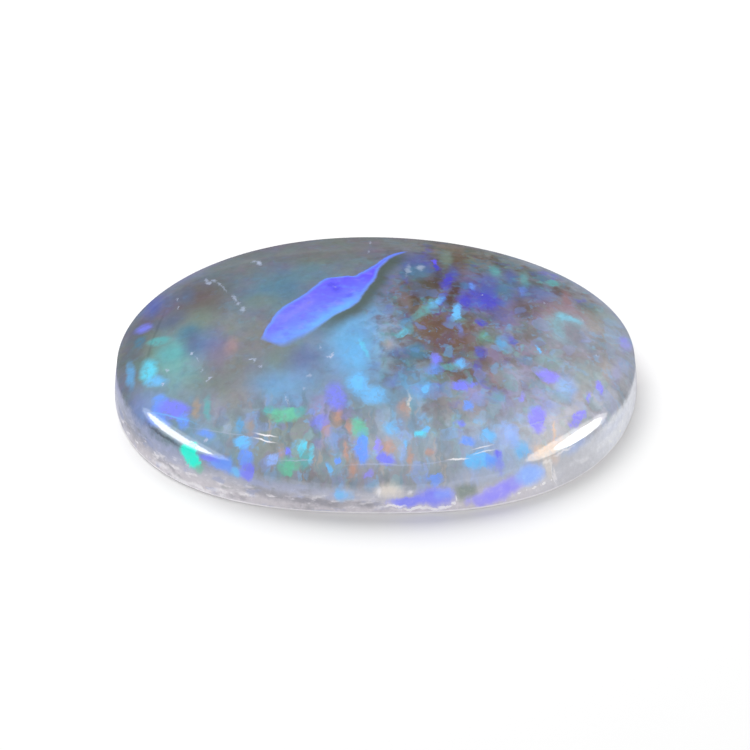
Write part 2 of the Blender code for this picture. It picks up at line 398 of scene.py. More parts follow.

# Patches of play of colour with crisp, broken edges; the peach ones beside the right highlight
# are its painted glow and tail
FLASHES = (
    (PALE, -3.95, -3.3, 0.14, 0.14, 0, 0.6, 0.5),
    (MIST, -3.6, -3.3, 0.11, 0.2, 0, 0.6, 0.8),
    (TAN, -3.3, -3.4, 0.11, 0.2, 0, 0.6, 0.7),
    (SKY, -3.5, -3.75, 0.2, 0.15, 0, 0.3, 0.95),
    (AZURE, -3.45, -4.08, 0.2, 0.18, 0, 0.4, 0.9),
    (PERIWINKLE, -3.35, -4.3, 0.2, 0.1, -10, 0.5, 0.9),
    (TEAL, -2.8, -3.0, 0.2, 0.12, 0, 0.5, 0.9),
    (SEA, -2.4, -3.17, 0.42, 0.19, -5, 0.35, 0.9),
    (TEAL, -2.0, -3.1, 0.14, 0.15, 0, 0.5, 0.8),
    (PERIWINKLE, -1.5, -3.45, 0.2, 0.2, 0, 0.5, 0.6),
    (PERIWINKLE, -1.05, -2.75, 0.24, 0.38, 10, 0.4, 0.75),
    (SKY, -0.5, -2.35, 0.26, 0.3, -20, 0.4, 0.85),
    (SKY, -0.1, -2.7, 0.38, 0.24, -15, 0.5, 0.75),
    (CYAN, -0.3, -1.25, 0.04, 0.3, 22, 0.6, 0.5),
    (SEA, -0.4, -3.7, 0.17, 0.36, 25, 0.4, 0.9),
    (AZURE, -0.36, -4.15, 0.19, 0.35, 0, 0.35, 0.95),
    (CYAN, -1.95, -4.05, 0.12, 0.18, 0, 0.4, 0.9),
    (TEAL, -1.88, -4.35, 0.17, 0.2, 0, 0.5, 0.9),
    (CYAN, -1.7, -4.25, 0.07, 0.18, 0, 0.5, 0.8),
    (SEA, -2.3, -4.43, 0.26, 0.17, -5, 0.4, 0.9),
    (LIGHT_AZURE, -2.75, -4.25, 0.15, 0.08, 0, 0.5, 0.8),
    (PERIWINKLE, -2.3, -4.1, 0.08, 0.09, 0, 0.4, 0.9),
    (SALMON, -2.45, -4.15, 0.08, 0.14, 0, 0.7, 0.5),
    (SKY, -1.2, -4.6, 0.06, 0.13, 20, 0.5, 0.8),
    (AZURE, -1.0, -4.4, 0.07, 0.06, 0, 0.5, 0.9),
    (SALMON, -0.8, -4.2, 0.07, 0.22, 5, 0.6, 0.9),
    (SALMON, -0.6, -4.65, 0.1, 0.16, -10, 0.6, 0.8),
    (LIGHT_VIOLET, -0.2, -4.75, 0.1, 0.07, 0, 0.6, 0.6),
    (SALMON, -1.0, -3.3, 0.1, 0.2, -10, 0.7, 0.7),
    (SALMON, -1.3, -3.65, 0.12, 0.15, 0, 0.8, 0.5),
    (SALMON, -0.7, -3.6, 0.09, 0.18, 10, 0.7, 0.7),
    (LILAC, -0.8, -3.35, 0.1, 0.12, 0, 0.7, 0.7),
    (LILAC, -1.5, -4.0, 0.15, 0.12, 0, 0.7, 0.5),
    (PALE, 1.2, 2.25, 0.09, 0.14, 0, 0.6, 0.7),
    (PALE, 0.86, 2.1, 0.06, 0.32, -3, 0.7, 0.5),
    (VIOLET, 1.58, 2.65, 0.06, 0.18, 0, 0.4, 0.9),
    (INDIGO, 1.6, 2.33, 0.07, 0.17, 8, 0.4, 0.95),
    (INDIGO, 1.93, 1.62, 0.15, 0.42, -14, 0.5, 0.85),
    (UMBER, 2.1, 1.2, 0.16, 0.42, -8, 0.5, 0.9),
    (UMBER, 1.98, 0.7, 0.16, 0.22, -10, 0.6, 0.7),
    (UMBER, 1.05, 0.65, 0.13, 0.3, 0, 0.6, 0.7),
    (INDIGO, 1.76, 0.75, 0.09, 0.3, -22, 0.5, 0.7),
    (SKY, 1.62, 0.6, 0.11, 0.32, -34, 0.5, 0.75),
    (TEAL, 1.25, 0.15, 0.14, 0.4, -40, 0.6, 0.65),
    (SKY, 2.16, 0.3, 0.11, 0.3, -4, 0.3, 0.95),
    (INDIGO, 2.38, 0.75, 0.18, 0.3, 0, 0.6, 0.8),
    (INDIGO, 2.95, 0.85, 0.34, 0.36, 0, 0.6, 0.75),
    (DUSK, 3.35, 0.3, 0.3, 0.3, 0, 0.8, 0.5),
    (AZURE, 2.58, 1.5, 0.08, 0.2, 0, 0.6, 0.7),
    (TEAL, 4.76, 2.35, 0.15, 0.2, -15, 0.4, 0.8),
    (AZURE, 3.92, 1.6, 0.12, 0.2, 0, 0.7, 0.4),
    (TEAL, 5.08, 0.35, 0.4, 0.55, 0, 0.4, 0.85),
    (CYAN, 5.15, 0.72, 0.32, 0.14, -5, 0.5, 0.65),
    (BROWN, 5.26, 0.14, 0.27, 0.42, 10, 0.6, 0.95),
    (PALE, 5.15, 0.25, 0.55, 0.75, 0, 0.7, 0.42),
    (LIGHT_VIOLET, 6.66, 0.45, 0.16, 0.3, -5, 0.7, 0.5),
    (CYAN, 0.7, -0.7, 0.09, 0.2, -40, 0.5, 0.6),
    (AZURE, 2.25, -0.4, 0.08, 0.2, 10, 0.6, 0.4),
    (SKY, 2.12, 0.0, 0.1, 0.1, 0, 0.6, 0.6),
    (INDIGO, 2.8, -0.1, 0.13, 0.15, 0, 0.5, 0.8),
    (SEA, 2.85, -0.62, 0.17, 0.18, 0, 0.8, 0.4),
    (MIST, 3.35, -0.75, 0.16, 0.2, 0, 0.5, 0.8),
    (INDIGO, 3.65, -0.65, 0.12, 0.14, 0, 0.6, 0.5),
    (INDIGO, 2.78, -1.22, 0.15, 0.18, 0, 0.5, 0.6),
    (INDIGO, 2.68, -1.62, 0.12, 0.14, 0, 0.6, 0.5),
    (PERIWINKLE, 1.58, -1.58, 0.15, 0.22, 0, 0.4, 0.85),
    (AZURE, 1.55, -1.9, 0.2, 0.15, 0, 0.6, 0.6),
    (SKY, 2.22, -1.63, 0.15, 0.16, -10, 0.4, 0.8),
    (TEAL, 1.95, -1.77, 0.2, 0.09, 5, 0.5, 0.8),
    (LIGHT_VIOLET, 4.6, -1.6, 0.27, 0.22, 15, 0.3, 0.9),
    (LIGHT_VIOLET, 5.95, -1.55, 0.1, 0.17, 3, 0.4, 0.9),
    (LIGHT_VIOLET, 5.65, -1.95, 0.07, 0.16, -5, 0.5, 0.7),
    (PERIWINKLE, 2.24, -2.35, 0.25, 0.16, -5, 0.3, 0.9),
    (PERIWINKLE, 2.56, -2.26, 0.08, 0.08, 0, 0.5, 0.7),
    (AZURE, 2.45, -2.9, 0.15, 0.12, 0, 0.4, 0.8),
    (SKY, 1.32, -2.52, 0.09, 0.16, -30, 0.4, 0.8),
    (LIGHT_VIOLET, 3.86, -2.45, 0.08, 0.12, 0, 0.6, 0.7),
    (TEAL, 3.25, -2.55, 0.15, 0.15, 0, 0.7, 0.5),
    (LIGHT_VIOLET, 4.26, -3.0, 0.23, 0.36, -8, 0.25, 0.9),
    (LIGHT_VIOLET, 5.35, -2.65, 0.11, 0.32, -34, 0.3, 0.9),
    (LIGHT_AZURE, 3.5, -3.35, 0.22, 0.14, 0, 0.6, 0.6),
    (PERIWINKLE, 2.2, -3.4, 0.12, 0.09, 0, 0.5, 0.8),
    (PALE, 1.9, -3.45, 0.1, 0.08, 0, 0.6, 0.5),
    (CYAN, 1.18, -3.77, 0.14, 0.11, 0, 0.35, 0.95),
    (SKY, 1.33, -3.65, 0.1, 0.09, 0, 0.4, 0.9),
    (AZURE, 2.4, -3.85, 0.2, 0.12, 0, 0.35, 0.8),
    (SKY, 2.95, -3.65, 0.2, 0.15, 0, 0.4, 0.8),
    (LIGHT_AZURE, 3.6, -3.62, 0.15, 0.2, 0, 0.5, 0.7),
    (SKY, 3.85, -3.85, 0.2, 0.16, 28, 0.5, 0.7),
    (SKY, 2.7, -4.3, 0.36, 0.18, 15, 0.3, 0.95),
    (AZURE, 3.05, -4.22, 0.18, 0.14, 15, 0.5, 0.8),
    (VIOLET, 3.2, -4.06, 0.1, 0.1, 0, 0.5, 0.7),
    (PERIWINKLE, 3.28, -4.28, 0.12, 0.13, 0, 0.5, 0.7),
    (AZURE, 1.55, -4.75, 0.2, 0.08, 3, 0.4, 0.85),
    (SKY, 0.4, -3.65, 0.18, 0.17, 0, 0.5, 0.7),
    (SALMON, 0.35, -4.15, 0.25, 0.19, -15, 0.6, 0.7),
    (LIGHT_VIOLET, 0.05, -4.15, 0.08, 0.24, 0, 0.5, 0.75),
    (PERIWINKLE, 0.25, -4.42, 0.24, 0.12, 0, 0.4, 0.9),
    (SKY, 0.77, -4.05, 0.06, 0.1, 0, 0.5, 0.8),
    (LIGHT_AZURE, 0.7, -4.3, 0.08, 0.2, 0, 0.7, 0.5),
    (SALMON, 0.9, -4.4, 0.07, 0.26, 0, 0.6, 0.6),
    (SALMON, 1.4, -4.2, 0.1, 0.09, 0, 0.7, 0.6),
    (SALMON, 0.75, -3.1, 0.14, 0.26, 5, 0.7, 0.6),
    (CREAM, 0.86, -2.85, 0.03, 0.2, 10, 0.8, 0.5),
    # Painted highlight: the peach glow and tail of the right highlight
    (PEACH, 4.3, -3.72, 0.2, 0.12, 28, 0.6, 0.6),
    (PEACH, 4.72, -3.2, 0.04, 0.22, 0, 0.8, 0.7),
    (PEACH, 4.55, -3.62, 0.55, 0.09, 33, 0.8, 0.6),
    (SKY, 4.3, -0.75, 0.03, 0.12, 0, 0.5, 0.9),
)

# The rounder flashes at the left end
LEFT_FLASHES = (
    (PERIWINKLE, -6.22, 0.8, 0.2, 0.18, 0, 0.6, 0.7),
    (STEEL, -6.3, 0.25, 0.15, 0.2, 0, 0.6, 0.9),
    (TEAL, -5.8, 0.05, 0.28, 0.17, -10, 0.4, 0.95),
    (CYAN, -6.05, -1.0, 0.21, 0.38, 5, 0.5, 0.9),
    (SKY, -5.85, -1.42, 0.28, 0.16, -25, 0.5, 0.7),
    (MIST, -6.55, -0.85, 0.11, 0.45, 3, 0.5, 0.8),
    (AZURE, -5.75, -2.15, 0.2, 0.25, 0, 0.4, 0.9),
    (PERIWINKLE, -5.38, -2.42, 0.45, 0.22, -32, 0.35, 0.95),
    (AZURE, -5.75, -2.6, 0.35, 0.12, -42, 0.5, 0.9),
    (AZURE, -5.1, -2.85, 0.14, 0.2, 20, 0.4, 0.9),
    (TAN, -4.75, -2.6, 0.1, 0.28, 0, 0.6, 0.8),
    (TEAL, -4.45, -2.65, 0.09, 0.33, 0, 0.5, 0.8),
    (AZURE, -4.5, -3.35, 0.24, 0.1, -30, 0.5, 0.7),
)

# Milky veils over the play of colour, partly the stone's milkiness and partly painted light: a
# glow of light shining through its front and its right end, and a halo beside the right highlight
VEILS_AND_GLOW = (
    (MILKY_GLOW, 6.6, -1.6, 2.6, 3.0, 0, 0.8, 0.28),
    (MILKY_GLOW, 2.5, -5.2, 7.5, 2.2, 0, 0.8, 0.24),
    (MILKY_GLOW, 4.8, -3.6, 3.0, 1.4, 30, 0.8, 0.2),
    (PALE, 5.1, 3.4, 2.3, 0.6, -35, 0.9, 0.5),
    (PALE, 6.6, 0.6, 0.4, 2.0, 10, 0.9, 0.3),
    (MILKY_GLOW, 0.5, -4.2, 0.9, 0.6, 0, 0.9, 0.14),
    (SKY, 0.6, -3.6, 0.8, 0.8, 0, 1.0, 0.14),
    (MILKY_GLOW, 3.3, -4.5, 0.9, 0.3, 20, 0.9, 0.3),
    (LIGHT_AZURE, 3.1, -3.9, 0.9, 0.5, 10, 0.9, 0.26),
    (CREAM, 4.6, -3.3, 1.0, 0.45, 32, 0.9, 0.3),
)

# Small white scars and bubbles under the polish
SCARS = (
    (PALE, -4.56, 2.42, 0.05, 0.14, 10, 0.6, 0.6),
    (PALE, -4.48, 2.24, 0.07, 0.07, 0, 0.6, 0.7),
    (PALE, -4.36, 2.34, 0.04, 0.1, 30, 0.6, 0.6),
    (PALE, -4.2, 2.08, 0.03, 0.12, 25, 0.7, 0.5),
    (PALE, -4.08, 1.8, 0.02, 0.2, 18, 0.7, 0.4),
    (PALE, -3.78, 1.2, 0.04, 0.16, 20, 0.7, 0.6),
    (PALE, -3.68, 0.92, 0.05, 0.05, 0, 0.7, 0.6),
    (PALE, -3.55, 0.65, 0.06, 0.1, 0, 0.6, 0.6),
    (PALE, -3.3, 3.1, 0.05, 0.08, 0, 0.6, 0.6),
    (PALE, -3.15, 2.95, 0.06, 0.16, 8, 0.5, 0.9),
    (PALE, -5.3, 1.3, 0.02, 0.07, 0, 0.6, 0.8),
    (PALE, -5.34, 1.75, 0.02, 0.08, 0, 0.6, 0.6),
    (PALE, -0.15, 3.9, 0.02, 0.14, 0, 0.6, 0.5),
    (PALE, -0.2, 3.2, 0.015, 0.08, 0, 0.6, 0.6),
    (PALE, -4.4, -1.75, 0.06, 0.03, 20, 0.6, 0.8),
    (PALE, -4.48, -1.82, 0.03, 0.04, 0, 0.6, 0.6),
    (PALE, -4.62, -1.42, 0.03, 0.04, 0, 0.6, 0.4),
    (PALE, -5.55, -1.15, 0.03, 0.05, 0, 0.6, 0.6),
    (PALE, -5.67, -1.58, 0.03, 0.05, 10, 0.6, 0.8),
    (PALE, -4.9, -0.75, 0.03, 0.05, 0, 0.6, 0.8),
    (PALE, -4.75, -1.0, 0.01, 0.12, 15, 0.6, 0.5),
    (PALE, -3.32, -1.33, 0.05, 0.03, 0, 0.6, 0.9),
    (PALE, -3.22, -1.38, 0.03, 0.05, 0, 0.6, 0.7),
    (PALE, -3.06, -1.62, 0.05, 0.04, 0, 0.6, 0.6),
    (PALE, -1.17, -1.45, 0.03, 0.09, -20, 0.5, 0.8),
    (PALE, -1.24, -1.5, 0.06, 0.03, 0, 0.5, 0.8),
    (PALE, -1.48, -1.17, 0.03, 0.04, 0, 0.6, 0.5),
    (PALE, -1.76, -2.06, 0.05, 0.05, 0, 0.6, 0.5),
    (PALE, -1.9, -2.46, 0.04, 0.03, 0, 0.6, 0.4),
    (PALE, -2.36, -2.75, 0.02, 0.16, 22, 0.6, 0.5),
    (PALE, -4.5, -3.5, 0.04, 0.04, 0, 0.5, 0.9),
    (PALE, 2.85, 1.12, 0.03, 0.03, 0, 0.5, 0.5),
    (PALE, 4.52, 1.22, 0.04, 0.03, 0, 0.5, 0.5),
    (PALE, 5.53, 0.82, 0.02, 0.06, 15, 0.6, 0.6),
    (PALE, 5.9, -0.5, 0.04, 0.03, 10, 0.5, 0.7),
    (INDIGO, -1.18, 1.36, 0.14, 0.1, 0, 0.8, 0.5),
    (INDIGO, -1.05, 1.12, 0.12, 0.14, 0, 0.8, 0.5),
    (INDIGO, -0.72, 0.82, 0.12, 0.07, 30, 0.8, 0.4),
    (PALE, -1.1, 1.24, 0.05, 0.05, 0, 0.7, 0.3),
    (LILAC, -1.9, 0.5, 0.3, 0.14, 45, 0.9, 0.35),
    (LILAC, -2.35, 0.1, 0.24, 0.1, 45, 0.9, 0.3),
)

# Thin lines: painted reflections of thin lights along the shoulder, and faint dark ones
GLINT_AND_DARK_LINES = (
    (INK, -5.82, 0.72, 0.5, 0.035, 75, 0.9, 0.28),
    (INK, -6.04, -0.2, 0.36, 0.035, 80, 0.9, 0.22),
    (PALE, 0.24, -4.54, 0.85, 0.017, 0, 0.8, 0.5),
    (WHITE, 2.15, -4.33, 0.22, 0.02, 10, 0.7, 0.9),
    (WHITE, 2.81, -3.97, 0.24, 0.014, 20, 0.7, 0.6),
    (WHITE, 2.86, -4.07, 0.24, 0.014, 20, 0.7, 0.6),
    (PALE, 1.49, -4.46, 0.36, 0.014, 10, 0.8, 0.4),
    (PALE, 3.95, -3.24, 0.6, 0.014, 25, 0.8, 0.45),
    (PALE, 5.0, -2.75, 0.7, 0.014, 25, 0.8, 0.35),
    (WHITE, -2.9, -3.65, 0.24, 0.017, -15, 0.7, 0.9),
    (WHITE, -2.93, -3.78, 0.24, 0.017, -20, 0.7, 0.9),
    (PALE, -2.04, -4.35, 0.38, 0.014, -5, 0.8, 0.5),
    (PALE, -3.9, -3.45, 0.95, 0.014, -20, 0.8, 0.3),
    (SKY, -5.43, -2.62, 0.6, 0.017, -30, 0.8, 0.5),
)

# Markings of the wall, a few of them painted light: colour, place around in degrees, height, half
# width in degrees, half height, turn, softness, strength
WALL_ZONES = (
    (PALE, 192, 0.5, 11, 0.6, 0, 0.9, 0.45),
    (LILAC, 188, 0.8, 8, 0.2, 0, 0.9, 0.3),
    (WALL_BLUE, 214, 0.75, 14, 0.3, 0, 0.8, 0.7),
    (WALL_BLUE, 248, 0.75, 12, 0.2, 0, 0.8, 0.4),
    (GREY, 205, 0.45, 10, 0.2, 0, 0.8, 0.35),
    (WALL_SHADE, 248, 0.46, 6, 0.12, 0, 0.8, 0.6),
    (WALL_SHADE, 258, 0.36, 6, 0.12, 0, 0.8, 0.7),
    (WALL_SHADE, 268, 0.36, 3, 0.1, 0, 0.8, 0.6),
    (MOSS, 289.4, 0.66, 2.4, 0.3, 0, 0.6, 0.8),
    (MILK, 292.0, 0.2, 5, 0.1, 0, 0.8, 0.5),
    # Painted light: the right end of the wall is painted pale, as the light that glows and is
    # reflected there
    (WALL_GLOW_PALE, 336, 0.5, 27, 0.9, 0, 0.6, 1.0),
    (WALL_BLUE, 334, 0.62, 8, 0.12, 0, 0.9, 0.25),
    (WALL_SHADE, 317, 0.5, 9, 0.9, 0, 0.9, 0.36),
)
WALL_FLASHES = (
    (PALE, 293.0, 1.0, 8.0, 0.15, 0, 0.9, 0.5),
    (GREEN_FIRE, 225.2, 0.95, 2.2, 0.19, 0, 0.3, 1.0),
    (GREEN_FIRE, 227.4, 0.8, 1.7, 0.2, 0, 0.3, 1.0),
    (SEA, 229.2, 0.64, 1.4, 0.12, 0, 0.6, 0.6),
    # Painted shade: a dark line along the crease below the left highlight
    (INK, 216.5, 0.97, 6.0, 0.03, 0, 0.7, 0.55),
    (AZURE, 234.6, 0.95, 3.2, 0.17, 0, 0.5, 0.85),
    (SKY, 238.8, 0.85, 1.5, 0.14, 0, 0.5, 0.8),
    (PERIWINKLE, 241.2, 0.87, 1.4, 0.15, 0, 0.5, 0.85),
    (PERIWINKLE, 231.0, 1.0, 2.4, 0.08, 0, 0.5, 0.8),
    (SKY, 262.8, 0.66, 1.6, 0.17, 0, 0.7, 0.75),
    (PERIWINKLE, 277.0, 0.42, 3.8, 0.16, 0, 0.4, 0.8),
    (PERIWINKLE, 282.8, 0.55, 3.4, 0.31, 0, 0.4, 0.82),
    (LIGHT_AZURE, 284.4, 0.62, 1.6, 0.16, 0, 0.8, 0.4),
    (LIGHT_VIOLET, 292.8, 0.3, 2.8, 0.18, 0, 0.5, 0.72),
    (LIGHT_VIOLET, 296.8, 0.44, 3.4, 0.26, 0, 0.4, 0.78),
    (LIGHT_VIOLET, 300.2, 0.58, 2.2, 0.22, 0, 0.5, 0.7),
    (LIGHT_AZURE, 304.6, 0.68, 3.4, 0.28, 0, 0.4, 0.95),
    (PEACH, 311.8, 0.9, 1.4, 0.16, 0, 0.9, 0.4),
    # Painted reflection: a pale blue line along the top of the wall under the right highlight
    (LIGHT_AZURE, 319.0, 0.88, 4.0, 0.12, 0, 1.0, 0.3),
    (WHITE, 310.6, 0.5, 0.24, 0.32, 0, 0.9, 0.6),
    (WHITE, 309.8, 0.84, 0.9, 0.04, 0, 0.8, 0.6),
    # Painted reflection: a white line along the top of the wall under the right highlight
    (WHITE, 315.0, 0.93, 3.0, 0.035, 0, 0.8, 0.6),
    (CREAM, 272.8, 0.82, 2.6, 0.2, 0, 0.8, 0.75),
    (WHITE, 270.6, 0.74, 0.5, 0.12, 0, 1.0, 0.5),
    (WHITE, 277.6, 0.76, 0.6, 0.06, 0, 1.0, 0.5),
    (WHITE, 274.2, 0.29, 2.0, 0.035, 0, 0.6, 0.8),
    (WHITE, 278.4, 0.2, 2.2, 0.035, 0, 0.6, 0.9),
    (WHITE, 282.4, 0.17, 1.8, 0.035, 0, 0.6, 0.9),
    (WHITE, 284.9, 0.22, 0.9, 0.03, 0, 0.6, 0.9),
    (WHITE, 286.2, 0.31, 0.5, 0.045, 0, 0.6, 0.8),
    (WHITE, 287.0, 0.44, 0.25, 0.08, 0, 0.7, 0.7),
    (CREAM, 309.8, 0.7, 0.9, 0.35, 0, 0.8, 0.5),
    (WHITE, 219.6, 0.22, 2.4, 0.06, 0, 0.8, 0.7),
    (WHITE, 225.4, 0.15, 2.8, 0.06, 0, 0.8, 0.7),
    (WHITE, 231.0, 0.14, 2.6, 0.05, 0, 0.8, 0.7),
    (WHITE, 235.4, 0.2, 1.8, 0.05, 0, 0.8, 0.6),
    (WHITE, 223.4, 0.38, 1.2, 0.04, 0, 0.8, 0.6),
    (WHITE, 242.0, 0.3, 2.0, 0.03, 0, 0.8, 0.5),
    (WHITE, 301.0, 0.25, 0.25, 0.03, 0, 0.5, 0.8),
    (WHITE, 302.8, 0.27, 0.2, 0.03, 0, 0.5, 0.8),
    (WHITE, 304.8, 0.28, 0.3, 0.03, 0, 0.5, 0.8),
    (WHITE, 307.0, 0.3, 0.25, 0.03, 0, 0.5, 0.8),
    (WHITE, 309.4, 0.31, 0.3, 0.03, 0, 0.5, 0.7),
)

# Shallow chips in the wall: place around in degrees, height, half width in degrees, half
# height, depth
CHIPS = (
    (281.0, 0.42, 7.0, 0.3, 0.07),
    (300.0, 0.3, 4.0, 0.2, 0.03),
    (308.5, 0.4, 2.4, 0.3, 0.035),
    (252.0, 0.3, 5.0, 0.16, 0.04),
    (243.0, 0.35, 2.4, 0.14, 0.03),
    (236.0, 0.22, 3.0, 0.13, 0.05),
    (229.0, 0.33, 2.0, 0.16, 0.03),
    (221.0, 0.25, 3.0, 0.14, 0.05),
    (212.0, 0.45, 2.6, 0.2, 0.04),
    (203.0, 0.3, 3.0, 0.18, 0.05),
    (266.5, 0.3, 2.0, 0.2, 0.03),
    (320.0, 0.55, 3.0, 0.2, 0.03),
)

# The largest flash, along its own axis in millimetres from its blunt end: places of the upper
# and of the lower edge, each as distance along and distance to the side
TONGUE_START = (-3.05, -0.65)
TONGUE_TURN = 45.0
TONGUE_LENGTH = 5.7
TONGUE_SPAN = 3.0
TONGUE_UPPER = (
    (-0.05, 0.02), (0.55, 0.25), (1.2, 0.42), (1.85, 0.37), (2.45, 0.42), (2.76, 0.45),
    (2.94, 0.39), (3.08, 0.27), (3.3, 0.12), (3.5, -0.05), (3.85, -0.04), (4.3, 0.0),
    (4.7, 0.1), (5.15, 0.14), (5.55, 0.04),
)
TONGUE_LOWER = (
    (-0.05, -0.1), (0.15, -0.58), (0.6, -0.74), (1.15, -0.88), (1.6, -0.89), (2.0, -0.91),
    (2.35, -0.99), (2.62, -0.98), (2.9, -0.87), (3.2, -0.74), (3.7, -0.56), (4.05, -0.32),
    (4.55, -0.1), (5.05, 0.03), (5.55, 0.02),
)


# Along the tongue, or from one of its edges, where each part of it starts and is full: both ends,
# the upper edge, and the lower edge, whose softness goes from the first to the second value
BLUNT_END = (-0.2, 0.3)
TIP = (5.6, 5.35)
UPPER_EDGE = (-0.03, 0.05)
LOWER_EDGE = (-1.0, 1.0)
LOWER_SOFT = (0.06, 0.22)
SOFT_ALONG = (1.6, 0.2)

# Likewise the dark band below the tongue, and how strong it is
BAND_NEAR = (0.02, -0.08)
BAND_FAR = (-0.62, -0.16)
BAND_START = (0.5, 2.0)
BAND_END = (5.5, 4.9)
BAND_STRENGTH = 0.9

# Likewise the changes of its colour: bluer towards the blunt end, azure and sky along the lower
# edge, and the narrow rims of both edges, each with its strength
BLUER_ALONG = (3.8, 0.8)
BLUER_STRENGTH = 0.8
LOW_RIM = (0.85, 0.05)
LOW_RIM_ALONG = (3.9, 2.4)
LOW_RIM_STRENGTH = 0.85
SKY_RIM = (0.35, 0.0)
SKY_RIM_START = (0.5, 1.4)
SKY_RIM_END = (3.1, 2.3)
NARROW_RIM = (0.14, 0.02)
RIM_STRENGTH = 0.7
TONGUE_DRAW = (1.0, 1.5, 0.0)
MOTTLE_STRENGTH = 0.7


def fitted(points, length, width):
    """The outline centred on the origin and stretched to exactly this length and width."""
    low, high = points.min(0), points.max(0)
    return (points - (low + high) / 2) * np.array((length, width)) / (high - low)


def crease_outline(angle):
    """The hand-cut oval at the top of the wall."""
    power = 2 / CREASE_SQUARENESS
    across = np.sign(np.cos(angle)) * np.abs(np.cos(angle)) ** power
    along = np.sign(np.sin(angle)) * np.abs(np.sin(angle)) ** power
    swell = 1 + sum(h * np.cos(n * (angle - math.radians(crest))) for n, h, crest in CREASE_WAVES)
    points = np.stack([across * CREASE_LENGTH * swell, along * CREASE_WIDTH * swell], 1)
    return fitted(points, CREASE_LENGTH, CREASE_WIDTH)


def foot_outline(angle, crease, length, width):
    """The larger, squarer oval at the foot of the wall."""
    before = (1 - np.sin(angle)) / 2
    lean = LEAN_BEHIND + (LEAN_BEFORE - LEAN_BEHIND) * before
    lean = lean + LEAN_CORNERS * before * np.sin(2 * angle) ** 2
    share = 1 + lean / np.linalg.norm(crease, axis=1)
    return fitted(crease * share[:, None], length, width)


def grown(outline, amount):
    """The outline moved outwards by an amount, along the line from the origin."""
    return outline * (1 + amount / np.linalg.norm(outline, axis=1))[:, None]


def chipped(outline, level):
    """The outline with the shallow chips of the wall pressed in at this height."""
    rounded = np.arctan2(outline[:, 1] * CREASE_LENGTH / CREASE_WIDTH, outline[:, 0])
    around = np.degrees(rounded) % 360
    depth = 0.0
    for degrees, height, long, high, deep in CHIPS:
        reach = ((around - degrees) / long) ** 2 + ((level - height) / high) ** 2
        depth = depth + deep * np.clip(1 - reach, 0, 1)
    return grown(outline, -depth)


def dome_curve(share, rise):
    """Height of the dome's curve at this share of its own radius."""
    return rise * (1 - share * share) + SHOULDER_RISE * math.sqrt(1 - share**SHOULDER_TIGHTNESS)


def stone_rings(length, width, height):
    """Outlines of the stone from its back to the top, each with its height."""
    angle = np.arange(AROUND) * 2 * math.pi / AROUND
    crease = crease_outline(angle)
    foot = foot_outline(angle, crease, length, width)
    lost = SHOULDER_RISE * (1 - math.sqrt(1 - CREASE_SHARE**SHOULDER_TIGHTNESS))
    rise = (height - WALL_HEIGHT - lost) / CREASE_SHARE**2
    rings = []
    for share in BEVEL_SHARES:
        turn = share * math.pi / 2
        inset = -FOOT_BEVEL * (1 - math.sin(turn))
        rings.append((grown(foot, inset), FOOT_BEVEL * (1 - math.cos(turn))))
    for share in np.linspace(0.0, 1.0, UP_THE_WALL):
        outline = foot + (crease - foot) * share
        belly = WALL_BELLY * math.sin(math.pi * share) * (1 - share)
        level = FOOT_BEVEL + (WALL_HEIGHT - FOOT_BEVEL) * share
        rings.append((chipped(grown(outline, belly), level), level))
    for step in range(1, OVER_THE_DOME):
        share = math.cos(0.5 * math.pi * (step / OVER_THE_DOME) ** DOME_SPREAD)
        level = dome_curve(share * CREASE_SHARE, rise) - dome_curve(CREASE_SHARE, rise)
        rings.append((crease * share, WALL_HEIGHT + level))
    return rings


def stone_mesh(rings, top):
    """The stone as one closed mesh in metres."""
    points = [np.column_stack([outline, np.full(AROUND, level)]) for outline, level in rings]
    points.append(np.array([[0.0, 0.0, 0.0], [0.0, 0.0, top]]))
    points = np.concatenate(points) * MM
    back, peak = len(points) - 2, len(points) - 1
    faces = []
    for ring in range(len(rings) - 1):
        for step in range(AROUND):
            after = (step + 1) % AROUND
            low, high = ring * AROUND, (ring + 1) * AROUND
            faces.append((low + step, low + after, high + after, high + step))
    last = (len(rings) - 1) * AROUND
    for step in range(AROUND):
        after = (step + 1) % AROUND
        faces.append((after, step, back))
        faces.append((last + step, last + after, peak))
    mesh = bpy.data.meshes.new("opal_stone")
    mesh.from_pydata(points.tolist(), [], faces)
    mesh.shade_smooth()
    mesh.set_sharp_from_angle(angle=SMOOTH_BELOW)
    return mesh


class Wire:
    """One output of a material's nodes, with arithmetic that adds the maths nodes."""

    def __init__(self, tree, socket):
        self.tree = tree
        self.socket = socket

    def outputs(self, count):
        """The first outputs of the node that this wire leaves."""
        return [Wire(self.tree, socket) for socket in self.socket.node.outputs[:count]]

    def maths(self, operation, *terms):
        return node(self.tree, "ShaderNodeMath", {"operation": operation}, dict(enumerate(terms)))

    def __add__(self, other):
        return self.maths("ADD", self, other)

    def __sub__(self, other):
        return self.maths("SUBTRACT", self, other)

    def __rsub__(self, other):
        return self.maths("SUBTRACT", other, self)

    def __mul__(self, other):
        return self.maths("MULTIPLY", self, other)

    def __truediv__(self, other):
        return self.maths("DIVIDE", self, other)

    __radd__ = __add__
    __rmul__ = __mul__


def node(tree, kind, settings=None, sockets=None, output=0):
    """Adds a node: its settings first, then the values or wires of its sockets."""
    made = tree.nodes.new(kind)
    for name, value in (settings or {}).items():
        if name == "points":
            fill_curve(made.mapping, value)
        else:
            setattr(made, name, value)
    for name, value in (sockets or {}).items():
        if isinstance(value, Wire):
            tree.links.new(value.socket, made.inputs[name])
        else:
            made.inputs[name].default_value = value
    return None if output is None else Wire(tree, made.outputs[output])


